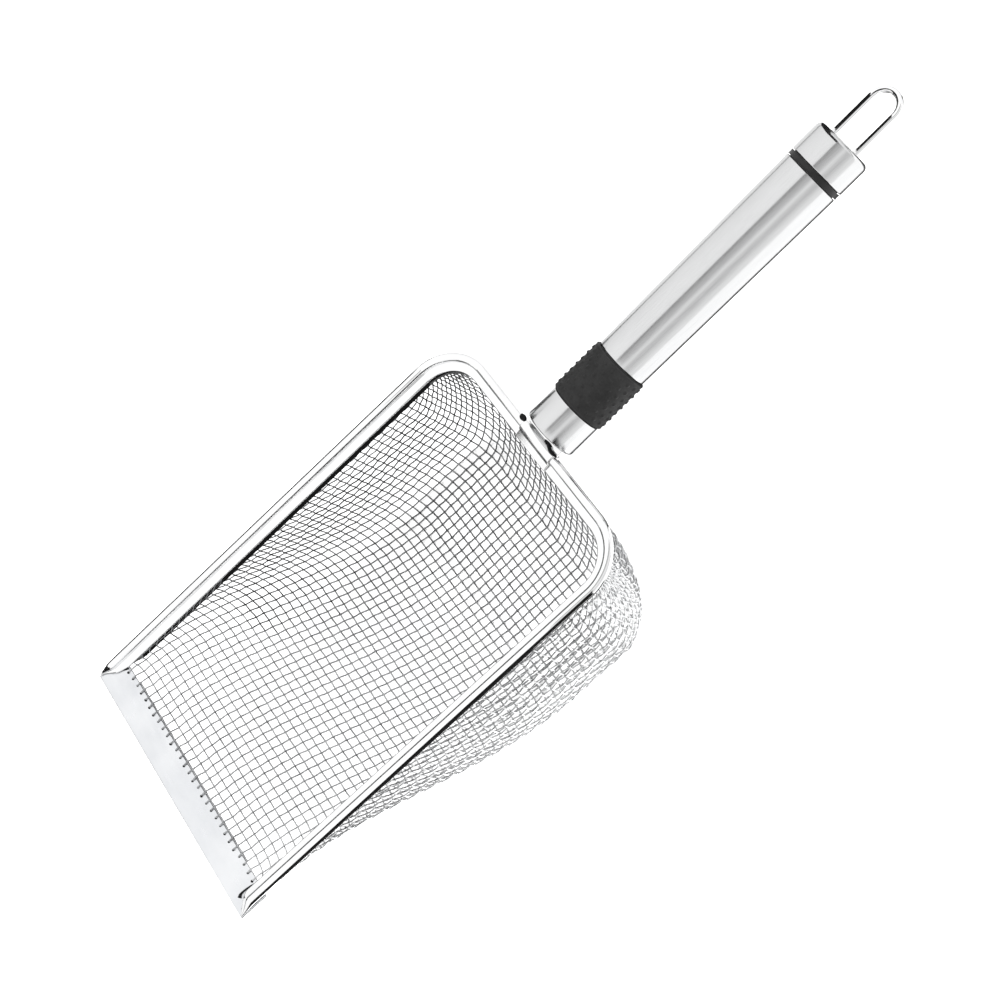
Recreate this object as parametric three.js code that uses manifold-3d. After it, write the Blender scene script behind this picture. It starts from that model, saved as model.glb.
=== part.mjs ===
// Beach sand scoop: a deep pan of woven wire with a rolled rim, a flat digging edge
// and a tubular handle. Millimetres, +Z up, +X towards the mouth, +Y to the left.

import * as THREE from 'three';
import { mergeVertices } from 'three/addons/utils/BufferGeometryUtils.js';
import Module from 'manifold-3d';

const wasm = await Module();
wasm.setup();

// ---- driving dimensions -------------------------------------------------------------

const GAP = 0.3;                  // clearance left between neighbouring pieces

// Pan, in a frame whose origin is the middle of the rear rim, on the rim's centreline
const PAN_WIDTH = 110;            // between the centrelines of the side rims
const PAN_LENGTH = 185;           // rear rim to the digging edge
const RIM_CORNER = 18;            // plan radius of the rear corners

const BEAD_RADIUS = 1.7;          // rolled edge of the rim
const BEAD_BORE = 1.15;           // hollow inside the roll
const FLANGE_REACH = 4.7;         // inner edge of the rim's flange, from the centreline
const FLANGE_FALL = 1.1;          // the flange slopes down by this much towards the pan
const FLANGE_SHEET = 0.5;
const RIM_STEPS = 84;
const CORE_WIRE_RADIUS = 0.8;
const CORE_WIRE_STEPS = 76;
const RIM_END_SETBACK = 1;        // the rim stops this far short of the digging edge
const CORE_WIRE_SETBACK = 3;

const PLATE_DEPTH = 12.4;
const PLATE_THICKNESS = 0.8;
const PLATE_OVERHANG = 1.7;       // plate beyond the rim's centreline, each side
const PLATE_TOP = -(BEAD_RADIUS + GAP);

const CLOTH_THICKNESS = 1.0;      // two wires thick
const CLOTH_TOP = -2.1;           // where the cloth meets the underside of the rim
const CLOTH_MOUTH = -2.9;         // height of the cloth's middle where it meets the plate
const CLOTH_DROP = 58.5;          // from there to the deepest part of the floor
const FLOOR_FLAT_FROM = 57;       // floor is level behind this x and eases up ahead of it
const FLOOR_FULLNESS = 0.9;       // below 1 the rising floor is fuller near the mouth
const SIDE_WALL_RUN = 8;          // plan width of the curve between side wall and floor
const SIDE_WALL_FULLNESS = 2.6;   // superellipse exponent
const SIDE_WALL_BULGE = 3;        // side walls swell this far outside the rim
const REAR_WALL_RUN = 28;
const REAR_WALL_FULLNESS = 1.5;

// Neck
const BRACKET_WIDTH = 18;
const BRACKET_SHEET = 0.6;
const TONGUE_THICKNESS = 2;
const TONGUE_REACH = 9;           // how far the tongue enters the handle

// Handle, in a frame that starts at the ferrule's front face; stations run rearwards
const HANDLE_START = -4.7;        // x of the ferrule's front face
const HANDLE_DROP = -0.6;         // z of the handle's axis there
const HANDLE_PITCH = 3.1;         // degrees, rising to the rear
const FERRULE_END = 13.3;
const SLEEVE_END = 34.6;
const TUBE_END = 122.5;
const RING_END = 124.7;
const CAP_END = 137.4;
const FERRULE_RADIUS = 10.2;
const SLEEVE_RADIUS = 10.75;
const TUBE_FRONT_RADIUS = 10.1;
const TUBE_REAR_RADIUS = 11;
const RING_RADIUS = 11.2;
const CAP_RADIUS = 11.1;
const CAP_ROUNDING = 2;
const SHEET = 0.6;                // wall of ferrule, tube and cap
const END_WALL = 0.8;
const CORE_RADIUS = 9.1;
const CORE_END = 52;
const TANG_RADIUS = 2.5;
const TANG_END = 60;
const REAR_CORE_START = 100;
const REAR_CORE_RADIUS = 9.85;
const LOOP_WIRE_RADIUS = 1.2;
const LOOP_BEND = 5.8;            // centreline radius, also half the distance between legs
const LOOP_REACH = 24;            // beyond the cap
const LOOP_FOOT = 122;            // station where the legs end
const LOOP_HOLE_END = 120;
const ROUND_SEGMENTS = 32;

// ---- materials ----------------------------------------------------------------------

function material(color, roughness, metalness) {
  return new THREE.MeshStandardMaterial({ color, roughness, metalness });
}

const wireSteel = material(0xc9ccd0, 0.35, 1);
const polishedSteel = material(0xd9dbde, 0.12, 1);
const satinSteel = material(0xd3d6da, 0.4, 1);
const brushedSteel = material(0xc4c7ca, 0.32, 1);
const blackRubber = material(0x232323, 0.8, 0);
const blackPlastic = material(0x181818, 0.45, 0);
const corePlastic = material(0x4a4a4a, 0.6, 0);

// ---- shape helpers ------------------------------------------------------------------

function toSolid(geometry) {
  const bare = geometry.clone();
  bare.deleteAttribute('normal');
  bare.deleteAttribute('uv');
  const merged = mergeVertices(bare, 1e-4);
  return new wasm.Manifold(new wasm.Mesh({
    numProp: 3,
    vertProperties: new Float32Array(merged.attributes.position.array),
    triVerts: new Uint32Array(merged.index.array),
  }));
}

function toGeometry(solid) {
  const mesh = solid.getMesh();
  const geometry = new THREE.BufferGeometry();
  geometry.setAttribute('position', new THREE.BufferAttribute(mesh.vertProperties, 3));
  geometry.setIndex(new THREE.BufferAttribute(mesh.triVerts, 1));
  geometry.computeVertexNormals();
  return geometry;
}

function cut(geometry, ...tools) {
  const solids = tools.map(toSolid);
  return toGeometry(solids.reduce((rest, tool) => rest.subtract(tool), toSolid(geometry)));
}

// A turned piece on the handle's axis. Points are [radius, station]; stations run to -X.
function turned(points) {
  const profile = points.map(([radius, station]) => new THREE.Vector2(radius, station));
  return new THREE.LatheGeometry(profile, ROUND_SEGMENTS).rotateZ(Math.PI / 2);
}

function ring(innerFront, innerRear, outerFront, outerRear, from, to) {
  return turned([
    [innerFront, from],
    [outerFront, from],
    [outerRear, to],
    [innerRear, to],
    [innerFront, from],
  ]);
}

function rod(radius, from, to, y = 0, segments = 16) {
  return new THREE.CylinderGeometry(radius, radius, to - from, segments)
    .rotateZ(Math.PI / 2)
    .translate(-(from + to) / 2, y, 0);
}

function block(from, to, width, height) {
  return new THREE.BoxGeometry(to - from, width, height).translate(-(from + to) / 2, 0, 0);
}

// A flat path of lines and arcs, used as a space curve in the plane z = 0
class LevelCurve extends THREE.Curve {
  constructor(path) {
    super();
    this.path = path;
  }

  getPoint(t, target = new THREE.Vector3()) {
    const point = this.path.getPoint(t);
    return target.set(point.x, point.y, 0);
  }
}

function sweep(section, path, steps) {
  return new THREE.ExtrudeGeometry(section, {
    steps,
    extrudePath: new LevelCurve(path),
    curveSegments: 5,
  });
}

function circle(radius, segments) {
  const points = [];
  for (let i = 0; i < segments; i += 1) {
    const angle = (2 * Math.PI * i) / segments;
    points.push(new THREE.Vector2(radius * Math.cos(angle), radius * Math.sin(angle)));
  }
  return new THREE.Shape(points);
}

// ---- rim ----------------------------------------------------------------------------

function rimPath(setback) {
  const side = PAN_WIDTH / 2;
  const path = new THREE.Path();
  path.moveTo(PAN_LENGTH - setback, side);
  path.lineTo(RIM_CORNER, side);
  path.absarc(RIM_CORNER, side - RIM_CORNER, RIM_CORNER, Math.PI / 2, Math.PI, false);
  path.lineTo(0, -side + RIM_CORNER);
  path.absarc(RIM_CORNER, -side + RIM_CORNER, RIM_CORNER, Math.PI, 1.5 * Math.PI, false);
  path.lineTo(PAN_LENGTH - setback, -side);
  return path;
}

// Rolled bead with a flange on its inner side. In the swept section the first axis
// points down and the second points into the pan.
function rimChannel() {
  const root = Math.PI / 8;
  const fall = FLANGE_FALL + FLANGE_SHEET;
  const section = new THREE.Shape();
  section.absarc(0, 0, BEAD_RADIUS, Math.PI / 2 - root, Math.PI / 2 - 3 * root, true);
  section.absarc(0, 0, BEAD_RADIUS, Math.PI / 2 - 3 * root, -1.5 * Math.PI, true);
  section.lineTo(fall - FLANGE_SHEET, FLANGE_REACH);
  section.lineTo(fall, FLANGE_REACH);
  section.closePath();
  const bore = new THREE.Path();
  bore.absarc(0, 0, BEAD_BORE, 0, 2 * Math.PI, false);
  section.holes.push(bore);
  return sweep(section, rimPath(RIM_END_SETBACK), RIM_STEPS);
}

function rimCoreWire() {
  return sweep(circle(CORE_WIRE_RADIUS, 8), rimPath(CORE_WIRE_SETBACK), CORE_WIRE_STEPS);
}

// ---- digging edge -------------------------------------------------------------------

function frontPlate() {
  const width = PAN_WIDTH + 2 * PLATE_OVERHANG;
  return new THREE.BoxGeometry(PLATE_DEPTH, width, PLATE_THICKNESS)
    .translate(PAN_LENGTH - PLATE_DEPTH / 2, 0, PLATE_TOP - PLATE_THICKNESS / 2);
}

// ---- wire cloth ---------------------------------------------------------------------

const CLOTH_LENGTH = PAN_LENGTH - PLATE_DEPTH - GAP;
const CORNER_INSET = RIM_CORNER * (1 - Math.SQRT1_2);   // middle of a corner arc

// How far the rounded corner cuts in, at a distance along the side from its square corner
function cornerCut(distance) {
  const run = Math.max(RIM_CORNER - distance, 0);
  return RIM_CORNER - Math.sqrt(RIM_CORNER ** 2 - run ** 2);
}

// Rise from 0 at the rim to 1 where the wall has turned into the floor
function wallCurve(distance, run, fullness) {
  const rest = 1 - Math.min(distance / run, 1);
  return (1 - rest ** fullness) ** (1 / fullness);
}

function floorDrop(x) {
  const run = CLOTH_LENGTH - FLOOR_FLAT_FROM;
  const along = Math.min(Math.max((CLOTH_LENGTH - x) / run, 0), 1);
  return CLOTH_DROP * ((1 - Math.cos(Math.PI * along)) / 2) ** FLOOR_FULLNESS;
}

// Point of the cloth's middle surface moved out by half its thickness, or in where out is
// negative. along runs from 0 at the mouth to 1 at the rear rim, across from -1 to 1.
function clothPoint(along, across, out) {
  const half = PAN_WIDTH / 2;
  const width = Math.abs(across);
  const rearX = cornerCut(half - width * (half - CORNER_INSET)) - out;
  const x = CLOTH_LENGTH * (1 - along) + rearX * along;
  const sideX = CLOTH_LENGTH * (1 - along) + CORNER_INSET * along;
  const sideY = half - cornerCut(sideX) + out;

  const fromSide = (1 - width) * half;
  const fromRear = (1 - along) * CLOTH_LENGTH;
  const rear = wallCurve(fromRear, REAR_WALL_RUN, REAR_WALL_FULLNESS);
  const side = wallCurve(fromSide, SIDE_WALL_RUN, SIDE_WALL_FULLNESS);
  const drop = floorDrop(x) * rear;
  const isEdge = fromSide === 0 || fromRear === 0;

  const turn = Math.acos(1 - Math.min(fromSide / SIDE_WALL_RUN, 1));
  const bulge = (SIDE_WALL_BULGE * Math.sin(2 * turn) * drop) / CLOTH_DROP;
  const y = Math.sign(across) * (width * sideY + bulge);
  const z = isEdge ? CLOTH_TOP : CLOTH_MOUTH - drop * side - out;
  return [x, y, z];
}

// Distances from an edge: close together in the wall's curve, then even across the floor
function wallStations(run, wallSteps, reach, floorSteps) {
  const stations = [];
  for (let i = 0; i < wallSteps; i += 1) {
    stations.push(run * (1 - Math.cos((Math.PI / 2) * (i / wallSteps))));
  }
  for (let i = 0; i <= floorSteps; i += 1) {
    stations.push(run + ((reach - run) * i) / floorSteps);
  }
  return stations;
}

// Two layers of the same grid, joined along all four edges into one closed skin
function meshBasket() {
  const half = PAN_WIDTH / 2;
  const left = wallStations(SIDE_WALL_RUN, 6, half, 7).map((distance) => 1 - distance / half);
  const across = [...left, ...left.slice(0, -1).reverse().map((value) => -value)];
  const along = wallStations(REAR_WALL_RUN, 8, CLOTH_LENGTH, 20)
    .map((distance) => 1 - distance / CLOTH_LENGTH);
  const rows = along.length;
  const columns = across.length;

  const positions = [];
  for (const out of [CLOTH_THICKNESS / 2, -CLOTH_THICKNESS / 2]) {
    along.forEach((u) => across.forEach((v) => positions.push(...clothPoint(u, v, out))));
  }
  const outer = (row, column) => row * columns + column;
  const inner = (row, column) => rows * columns + row * columns + column;

  const triangles = [];
  const quad = (a, b, c, d) => triangles.push(a, c, b, a, d, c);
  for (let i = 0; i + 1 < rows; i += 1) {
    for (let j = 0; j + 1 < columns; j += 1) {
      quad(outer(i, j), outer(i, j + 1), outer(i + 1, j + 1), outer(i + 1, j));
      quad(inner(i, j), inner(i + 1, j), inner(i + 1, j + 1), inner(i, j + 1));
    }
    quad(outer(i, 0), outer(i + 1, 0), inner(i + 1, 0), inner(i, 0));
    const last = columns - 1;
    quad(outer(i + 1, last), outer(i, last), inner(i, last), inner(i + 1, last));
  }
  for (let j = 0; j + 1 < columns; j += 1) {
    const last = rows - 1;
    quad(outer(0, j + 1), outer(0, j), inner(0, j), inner(0, j + 1));
    quad(outer(last, j), outer(last, j + 1), inner(last, j + 1), inner(last, j));
  }

  const geometry = new THREE.BufferGeometry();
  geometry.setAttribute('position', new THREE.Float32BufferAttribute(positions, 3));
  geometry.setIndex(triangles);
  geometry.computeVertexNormals();
  return geometry;
}

// ---- neck ---------------------------------------------------------------------------

// A strap that lies on the flange, arches over the bead and runs back as a tongue
function neckBracket() {
  const inside = BEAD_RADIUS + GAP;
  const outside = inside + BRACKET_SHEET;
  const lip = Math.asin(BRACKET_SHEET / outside);
  const tongueTop = HANDLE_DROP + TONGUE_THICKNESS / 2;
  const tongueEnd = HANDLE_START - TONGUE_REACH;
  const archEnd = Math.PI - Math.asin(tongueTop / outside);
  const outline = new THREE.Shape();
  outline.moveTo(inside, 0);
  outline.lineTo(FLANGE_REACH, -FLANGE_FALL + GAP);
  outline.lineTo(FLANGE_REACH, -FLANGE_FALL + GAP + BRACKET_SHEET);
  outline.absarc(0, 0, outside, lip, archEnd, false);
  outline.lineTo(tongueEnd, tongueTop);
  outline.lineTo(tongueEnd, tongueTop - TONGUE_THICKNESS);
  outline.lineTo(-inside, tongueTop - TONGUE_THICKNESS);
  outline.lineTo(-inside, 0);
  outline.absarc(0, 0, inside, Math.PI, 0, true);
  const strap = new THREE.ExtrudeGeometry(outline, {
    depth: BRACKET_WIDTH,
    bevelEnabled: false,
    curveSegments: 10,
  });
  return strap.rotateX(Math.PI / 2).translate(0, BRACKET_WIDTH / 2, 0);
}

// ---- handle -------------------------------------------------------------------------

// The tongue is level, so its slot is turned back by the handle's pitch
function tongueSlot(from, to) {
  return block(from, to, BRACKET_WIDTH + 2 * GAP, TONGUE_THICKNESS + 2 * GAP)
    .rotateY(-THREE.MathUtils.degToRad(HANDLE_PITCH));
}

function tangRod() {
  return rod(TANG_RADIUS, TONGUE_REACH + GAP + END_WALL, TANG_END);
}

function frontFerrule() {
  const innerRadius = FERRULE_RADIUS - SHEET;
  const cup = turned([
    [0, 0],
    [FERRULE_RADIUS - END_WALL, 0],
    [FERRULE_RADIUS, END_WALL],
    [FERRULE_RADIUS, FERRULE_END - GAP / 2],
    [innerRadius, FERRULE_END - GAP / 2],
    [innerRadius, END_WALL],
    [0, END_WALL],
  ]);
  return cut(cup, tongueSlot(-1, 2 * END_WALL));
}

function frontCore() {
  const from = END_WALL + GAP;
  const slotEnd = TONGUE_REACH + GAP;
  const bore = rod(TANG_RADIUS + GAP, slotEnd - 1, CORE_END + 1);
  return cut(rod(CORE_RADIUS, from, CORE_END, 0, ROUND_SEGMENTS), tongueSlot(0, slotEnd), bore);
}

function gripSleeve() {
  const edge = 0.5;
  const from = FERRULE_END + GAP / 2;
  const to = SLEEVE_END - GAP / 2;
  return turned([
    [CORE_RADIUS + GAP, from],
    [SLEEVE_RADIUS - edge, from],
    [SLEEVE_RADIUS, from + edge],
    [SLEEVE_RADIUS, to - edge],
    [SLEEVE_RADIUS - edge, to],
    [CORE_RADIUS + GAP, to],
    [CORE_RADIUS + GAP, from],
  ]);
}

function handleTube() {
  return ring(
    TUBE_FRONT_RADIUS - SHEET,
    TUBE_REAR_RADIUS - SHEET,
    TUBE_FRONT_RADIUS,
    TUBE_REAR_RADIUS,
    SLEEVE_END + GAP / 2,
    TUBE_END - GAP / 2,
  );
}

function rearRing() {
  const edge = 0.6;
  const from = TUBE_END + GAP / 2;
  const to = RING_END - GAP / 2;
  return turned([
    [REAR_CORE_RADIUS + GAP, from],
    [RING_RADIUS - edge, from],
    [RING_RADIUS, from + edge],
    [RING_RADIUS, to - edge],
    [RING_RADIUS - edge, to],
    [REAR_CORE_RADIUS + GAP, to],
    [REAR_CORE_RADIUS + GAP, from],
  ]);
}

function legHoles(from, to) {
  const radius = LOOP_WIRE_RADIUS + GAP;
  return [rod(radius, from, to, LOOP_BEND), rod(radius, from, to, -LOOP_BEND)];
}

function rearCore() {
  const end = CAP_END - END_WALL - GAP;
  const core = rod(REAR_CORE_RADIUS, REAR_CORE_START, end, 0, ROUND_SEGMENTS);
  return cut(core, ...legHoles(LOOP_HOLE_END, CAP_END));
}

function endCap() {
  const innerRadius = CAP_RADIUS - SHEET;
  const from = RING_END + GAP / 2;
  const points = [
    [0, CAP_END - END_WALL],
    [innerRadius, CAP_END - END_WALL],
    [innerRadius, from],
    [CAP_RADIUS, from],
  ];
  const steps = 5;
  for (let i = 0; i <= steps; i += 1) {
    const angle = (Math.PI / 2) * (i / steps);
    points.push([
      CAP_RADIUS - CAP_ROUNDING * (1 - Math.cos(angle)),
      CAP_END - CAP_ROUNDING * (1 - Math.sin(angle)),
    ]);
  }
  points.push([0, CAP_END]);
  return cut(turned(points), ...legHoles(LOOP_HOLE_END, CAP_END + 1));
}

function hangingLoop() {
  const bendCentre = CAP_END + LOOP_REACH - LOOP_WIRE_RADIUS - LOOP_BEND;
  const path = new THREE.Path();
  path.moveTo(-LOOP_FOOT, LOOP_BEND);
  path.lineTo(-bendCentre, LOOP_BEND);
  path.absarc(-bendCentre, 0, LOOP_BEND, Math.PI / 2, 1.5 * Math.PI, false);
  path.lineTo(-LOOP_FOOT, -LOOP_BEND);
  return sweep(circle(LOOP_WIRE_RADIUS, 10), path, 48);
}

// ---- assembly -----------------------------------------------------------------------

function named(name, geometry, finish) {
  const mesh = new THREE.Mesh(geometry, finish);
  mesh.name = name;
  return mesh;
}

const handle = new THREE.Group();
handle.position.set(HANDLE_START, 0, HANDLE_DROP);
handle.rotation.y = THREE.MathUtils.degToRad(HANDLE_PITCH);
handle.add(
  named('tang_rod', tangRod(), wireSteel),
  named('front_ferrule', frontFerrule(), brushedSteel),
  named('front_core', frontCore(), corePlastic),
  named('grip_sleeve', gripSleeve(), blackRubber),
  named('handle_tube', handleTube(), brushedSteel),
  named('rear_ring', rearRing(), blackPlastic),
  named('rear_core', rearCore(), corePlastic),
  named('end_cap', endCap(), brushedSteel),
  named('hanging_loop', hangingLoop(), polishedSteel),
);

const scoop = new THREE.Group();
scoop.add(
  named('mesh_basket', meshBasket(), wireSteel),
  named('rim_channel', rimChannel(), polishedSteel),
  named('rim_core_wire', rimCoreWire(), wireSteel),
  named('front_plate', frontPlate(), satinSteel),
  named('neck_bracket', neckBracket(), satinSteel),
  handle,
);

// The part stands on the pan's flat underside, with its origin under the middle
const extent = new THREE.Box3().setFromObject(scoop, true);
scoop.position.set(-(extent.min.x + extent.max.x) / 2, 0, -extent.min.z);

const part = new THREE.Group();
part.add(scoop);

export default part;
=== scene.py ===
"""Beach sand scoop: woven wire pan, rolled rim, digging edge and tubular handle.

Lengths and places below are in millimetres in the scoop's own frame, unless a name or
comment says otherwise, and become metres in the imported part's frame when a mesh is made.
The scoop's frame has its origin at the middle of the rear rim, on the rim's centreline,
with +X towards the mouth and +Z up.
"""
import math

import bmesh
import bpy
import numpy as np
from mathutils import Matrix, Vector, noise

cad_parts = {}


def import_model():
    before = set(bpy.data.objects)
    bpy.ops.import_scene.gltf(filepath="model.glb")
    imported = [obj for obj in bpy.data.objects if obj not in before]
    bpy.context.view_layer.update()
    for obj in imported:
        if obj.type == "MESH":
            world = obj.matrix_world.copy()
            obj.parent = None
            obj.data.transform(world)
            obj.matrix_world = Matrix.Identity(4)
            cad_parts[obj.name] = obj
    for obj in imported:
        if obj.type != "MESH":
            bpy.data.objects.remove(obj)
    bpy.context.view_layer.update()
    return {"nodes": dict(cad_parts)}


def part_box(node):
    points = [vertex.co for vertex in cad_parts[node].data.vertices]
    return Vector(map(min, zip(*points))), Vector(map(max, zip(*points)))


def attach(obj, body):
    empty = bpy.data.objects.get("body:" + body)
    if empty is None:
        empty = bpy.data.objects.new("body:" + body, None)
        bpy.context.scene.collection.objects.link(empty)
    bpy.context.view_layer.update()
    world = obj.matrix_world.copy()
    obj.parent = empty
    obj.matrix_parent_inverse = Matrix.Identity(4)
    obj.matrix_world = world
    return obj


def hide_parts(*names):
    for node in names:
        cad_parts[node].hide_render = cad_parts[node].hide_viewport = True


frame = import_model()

MM = 0.001

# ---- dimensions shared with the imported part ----

PAN_WIDTH = 110.0
PAN_LENGTH = 185.0
RIM_CORNER = 18.0
PLATE_DEPTH = 12.4
PLATE_THICKNESS = 0.8
PLATE_OVERHANG = 1.7
PLATE_TOP = -2.0
GAP = 0.3

BEAD_RADIUS = 1.7
FLANGE_REACH = 4.7
FLANGE_SHEET = 0.5
RIM_END_SETBACK = 1.0
CORE_WIRE_RADIUS = 0.8

CLOTH_MOUTH = -2.9
CLOTH_DROP = 58.5
FLOOR_FLAT_FROM = 57.0
FLOOR_FULLNESS = 0.9
SIDE_WALL_RUN = 8.0
SIDE_WALL_FULLNESS = 2.6
SIDE_WALL_BULGE = 3.0
REAR_WALL_RUN = 28.0
REAR_WALL_FULLNESS = 1.5

BRACKET_WIDTH = 18.0
BRACKET_SHEET = 0.6
TONGUE_THICKNESS = 2.0
TONGUE_REACH = 9.0

HANDLE_START = -4.7
HANDLE_DROP = -0.6
HANDLE_PITCH = math.radians(3.1)
FERRULE_END = 13.3
SLEEVE_END = 34.6
TUBE_END = 122.5
RING_END = 124.7
CAP_END = 137.4
FERRULE_RADIUS = 10.2
SLEEVE_RADIUS = 10.75
SLEEVE_BORE = 9.4
TUBE_FRONT_RADIUS = 10.1
TUBE_REAR_RADIUS = 11.0
RING_RADIUS = 11.2
RING_BORE = 10.15
CAP_RADIUS = 11.1
SHEET = 0.6
END_WALL = 0.8
LOOP_WIRE_RADIUS = 1.2
LOOP_BEND = 5.8
LOOP_REACH = 24.0
LOOP_FOOT = 122.0

HALF_WIDTH = PAN_WIDTH / 2
CLOTH_LENGTH = PAN_LENGTH - PLATE_DEPTH - GAP
PLATE_REAR = PAN_LENGTH - PLATE_DEPTH
CORNER_INSET = RIM_CORNER * (1 - math.sqrt(0.5))


def scoop_origin():
    """The scoop frame's origin in the part's frame, in metres."""
    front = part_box("front_plate")[1].x
    low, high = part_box("rim_core_wire")
    return Vector((front - PAN_LENGTH * MM, 0, (low.z + high.z) / 2))


ORIGIN = scoop_origin()

# ---- mesh helpers ----


def to_part(points):
    """Scoop frame in millimetres to part frame in metres."""
    return np.asarray(points, float) * MM + np.array(ORIGIN)


def from_handle(points):
    """Handle frame, where the axis runs to -X from the ferrule's face, to scoop frame."""
    points = np.asarray(points, float)
    x, y, z = points[..., 0], points[..., 1], points[..., 2]
    cos, sin = math.cos(HANDLE_PITCH), math.sin(HANDLE_PITCH)
    return np.stack([HANDLE_START + x * cos + z * sin, y, HANDLE_DROP - x * sin + z * cos], -1)


def mesh_object(name, points, faces, sharp=None):
    """A smooth-shaded mesh from scoop-frame points; edges over the sharp angle stay crisp."""
    mesh = bpy.data.meshes.new(name)
    mesh.from_pydata(to_part(points).tolist(), [], faces)
    finish_mesh(mesh, sharp)
    piece = bpy.data.objects.new(name, mesh)
    bpy.context.scene.collection.objects.link(piece)
    return piece


def finish_mesh(mesh, sharp=None):
    """Point the faces outwards and shade the mesh smooth."""
    work = bmesh.new()
    work.from_mesh(mesh)
    bmesh.ops.recalc_face_normals(work, faces=work.faces)
    work.to_mesh(mesh)
    work.free()
    mesh.polygons.foreach_set("use_smooth", [True] * len(mesh.polygons))
    if sharp:
        mesh.set_sharp_from_angle(angle=math.radians(sharp))
    mesh.update()


def ring_faces(rows, columns, wrap=False):
    """Quads between successive rings of points, joined back to the first ring on wrap."""
    row, column = np.meshgrid(np.arange(rows if wrap else rows - 1), np.arange(columns),
                              indexing="ij")
    next_row = (row + 1) % rows
    next_column = (column + 1) % columns
    corners = np.stack([row * columns + column, row * columns + next_column,
                        next_row * columns + next_column, next_row * columns + column], -1)
    return corners.reshape(-1, 4).tolist()


def swept(sections):
    """Points and faces of a closed body through sections, an array of rings of points."""
    rows, columns = sections.shape[:2]
    last = (rows - 1) * columns
    ends = [list(range(columns)), list(range(last, last + columns))]
    return sections.reshape(-1, 3), ring_faces(rows, columns) + ends


def bodies_object(name, bodies, sharp=None):
    """Closed bodies, each given by its points and faces, in one mesh."""
    points = []
    faces = []
    count = 0
    for body_points, body_faces in bodies:
        points.append(body_points)
        faces += [[index + count for index in face] for face in body_faces]
        count += len(body_points)
    return mesh_object(name, np.concatenate(points), faces, sharp)


def sweep_object(name, sections, sharp=None):
    return bodies_object(name, [swept(sections)], sharp)


def tube_sections(line, radius, sides):
    """Rings around a line; radius is one number or one for each point of the line."""
    tangent = np.gradient(line, axis=0)
    tangent /= np.linalg.norm(tangent, axis=1, keepdims=True)
    start = np.array([0.0, 0, 1]) if abs(tangent[0, 2]) < 0.8 else np.array([1.0, 0, 0])
    across = np.zeros_like(line)
    for index, direction in enumerate(tangent):
        start = start - direction * start.dot(direction)
        start /= np.linalg.norm(start)
        across[index] = start
    beside = np.cross(tangent, across)
    angles = 2 * np.pi * np.arange(sides) / sides
    radius = np.broadcast_to(radius, len(line))[:, None, None]
    spokes = (np.cos(angles)[None, :, None] * across[:, None]
              + np.sin(angles)[None, :, None] * beside[:, None])
    return line[:, None] + radius * spokes


def arc(centre_x, centre_y, radius, start, end, steps):
    """Points of an arc, from start to end in degrees."""
    angles = np.radians(np.linspace(start, end, steps))
    return np.stack([centre_x + radius * np.cos(angles), centre_y + radius * np.sin(angles)], 1)


def turned_object(name, profile, segments=128, sharp=30, relief=None):
    """A piece turned about the handle's axis from [radius, station] points.

    A profile that starts and ends on the axis is closed there, and any other profile is
    taken as a loop. relief adds to the radius at (station, angle).
    """
    profile = np.asarray(profile, float)
    on_axis = profile[0, 0] == 0 and profile[-1, 0] == 0
    body = profile[1:-1] if on_axis else profile
    angles = 2 * np.pi * np.arange(segments) / segments
    radius = np.repeat(body[:, :1], segments, 1)
    if relief is not None:
        radius = radius + relief(body[:, 1:], angles[None, :])
    station = np.repeat(body[:, 1:], segments, 1)
    points = np.stack([-station, radius * np.cos(angles), radius * np.sin(angles)], -1)
    points = points.reshape(-1, 3)
    faces = ring_faces(len(body), segments, wrap=not on_axis)
    if on_axis:
        front, rear = len(points), len(points) + 1
        last = (len(body) - 1) * segments
        points = np.concatenate([points, [[-profile[0, 1], 0, 0], [-profile[-1, 1], 0, 0]]])
        for index in range(segments):
            following = (index + 1) % segments
            faces.append([front, following, index])
            faces.append([rear, last + index, last + following])
    return mesh_object(name, from_handle(points), faces, sharp)


def cut(piece, *cutters):
    """Cut other meshes out of a piece, and discard them."""
    for cutter in cutters:
        boolean = piece.modifiers.new("cut", "BOOLEAN")
        boolean.operation = "DIFFERENCE"
        boolean.solver = "EXACT"
        boolean.object = cutter
    apply_modifiers(piece, 30)
    for cutter in cutters:
        bpy.data.objects.remove(cutter)


def apply_modifiers(piece, sharp):
    """Keep a piece's modified mesh as its own."""
    bpy.context.view_layer.update()
    evaluated = piece.evaluated_get(bpy.context.evaluated_depsgraph_get())
    mesh = bpy.data.meshes.new_from_object(evaluated)
    piece.modifiers.clear()
    piece.data = mesh
    finish_mesh(mesh, sharp)


def declare(piece, finish, slot, *nodes):
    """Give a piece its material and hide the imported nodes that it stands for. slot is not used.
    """
    piece.data.materials.clear()
    piece.data.materials.append(finish)
    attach(piece, "root")
    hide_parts(*nodes)


# ---- wire cloth ----

WIRE_PITCH = 3.5
WIRE_RADIUS = 0.27
CRIMP = 0.23                 # a wire swings this far to each side of the cloth's middle
WIRE_SIDES = 6
STEPS_PER_CELL = 4
TABLE_STEP = 1.0             # spacing of the surface table's rows and columns
TABLE_MARGIN = 20            # rows and columns of the table beyond each edge of the pan
STRAIGHT_WIRE_X = 45.0       # the cross wire here lies straight across the pan
SOLVER_STEPS = 12
SOLVER_DAMPING = 1e-3
LONGEST_MOVE = 1.5           # most rows or columns that a crossing moves in one step
RIM_ENTRY = 1.2              # wires run this far up into the rim
TIP_OVERLAP = 1.5            # long wires end this far onto the digging edge
TIP_VARIATION = 0.35
CLOTH_LIFT = PLATE_TOP + WIRE_RADIUS - CLOTH_MOUTH   # rise from the floor onto the edge
LIFT_RUN = 4.0


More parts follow.
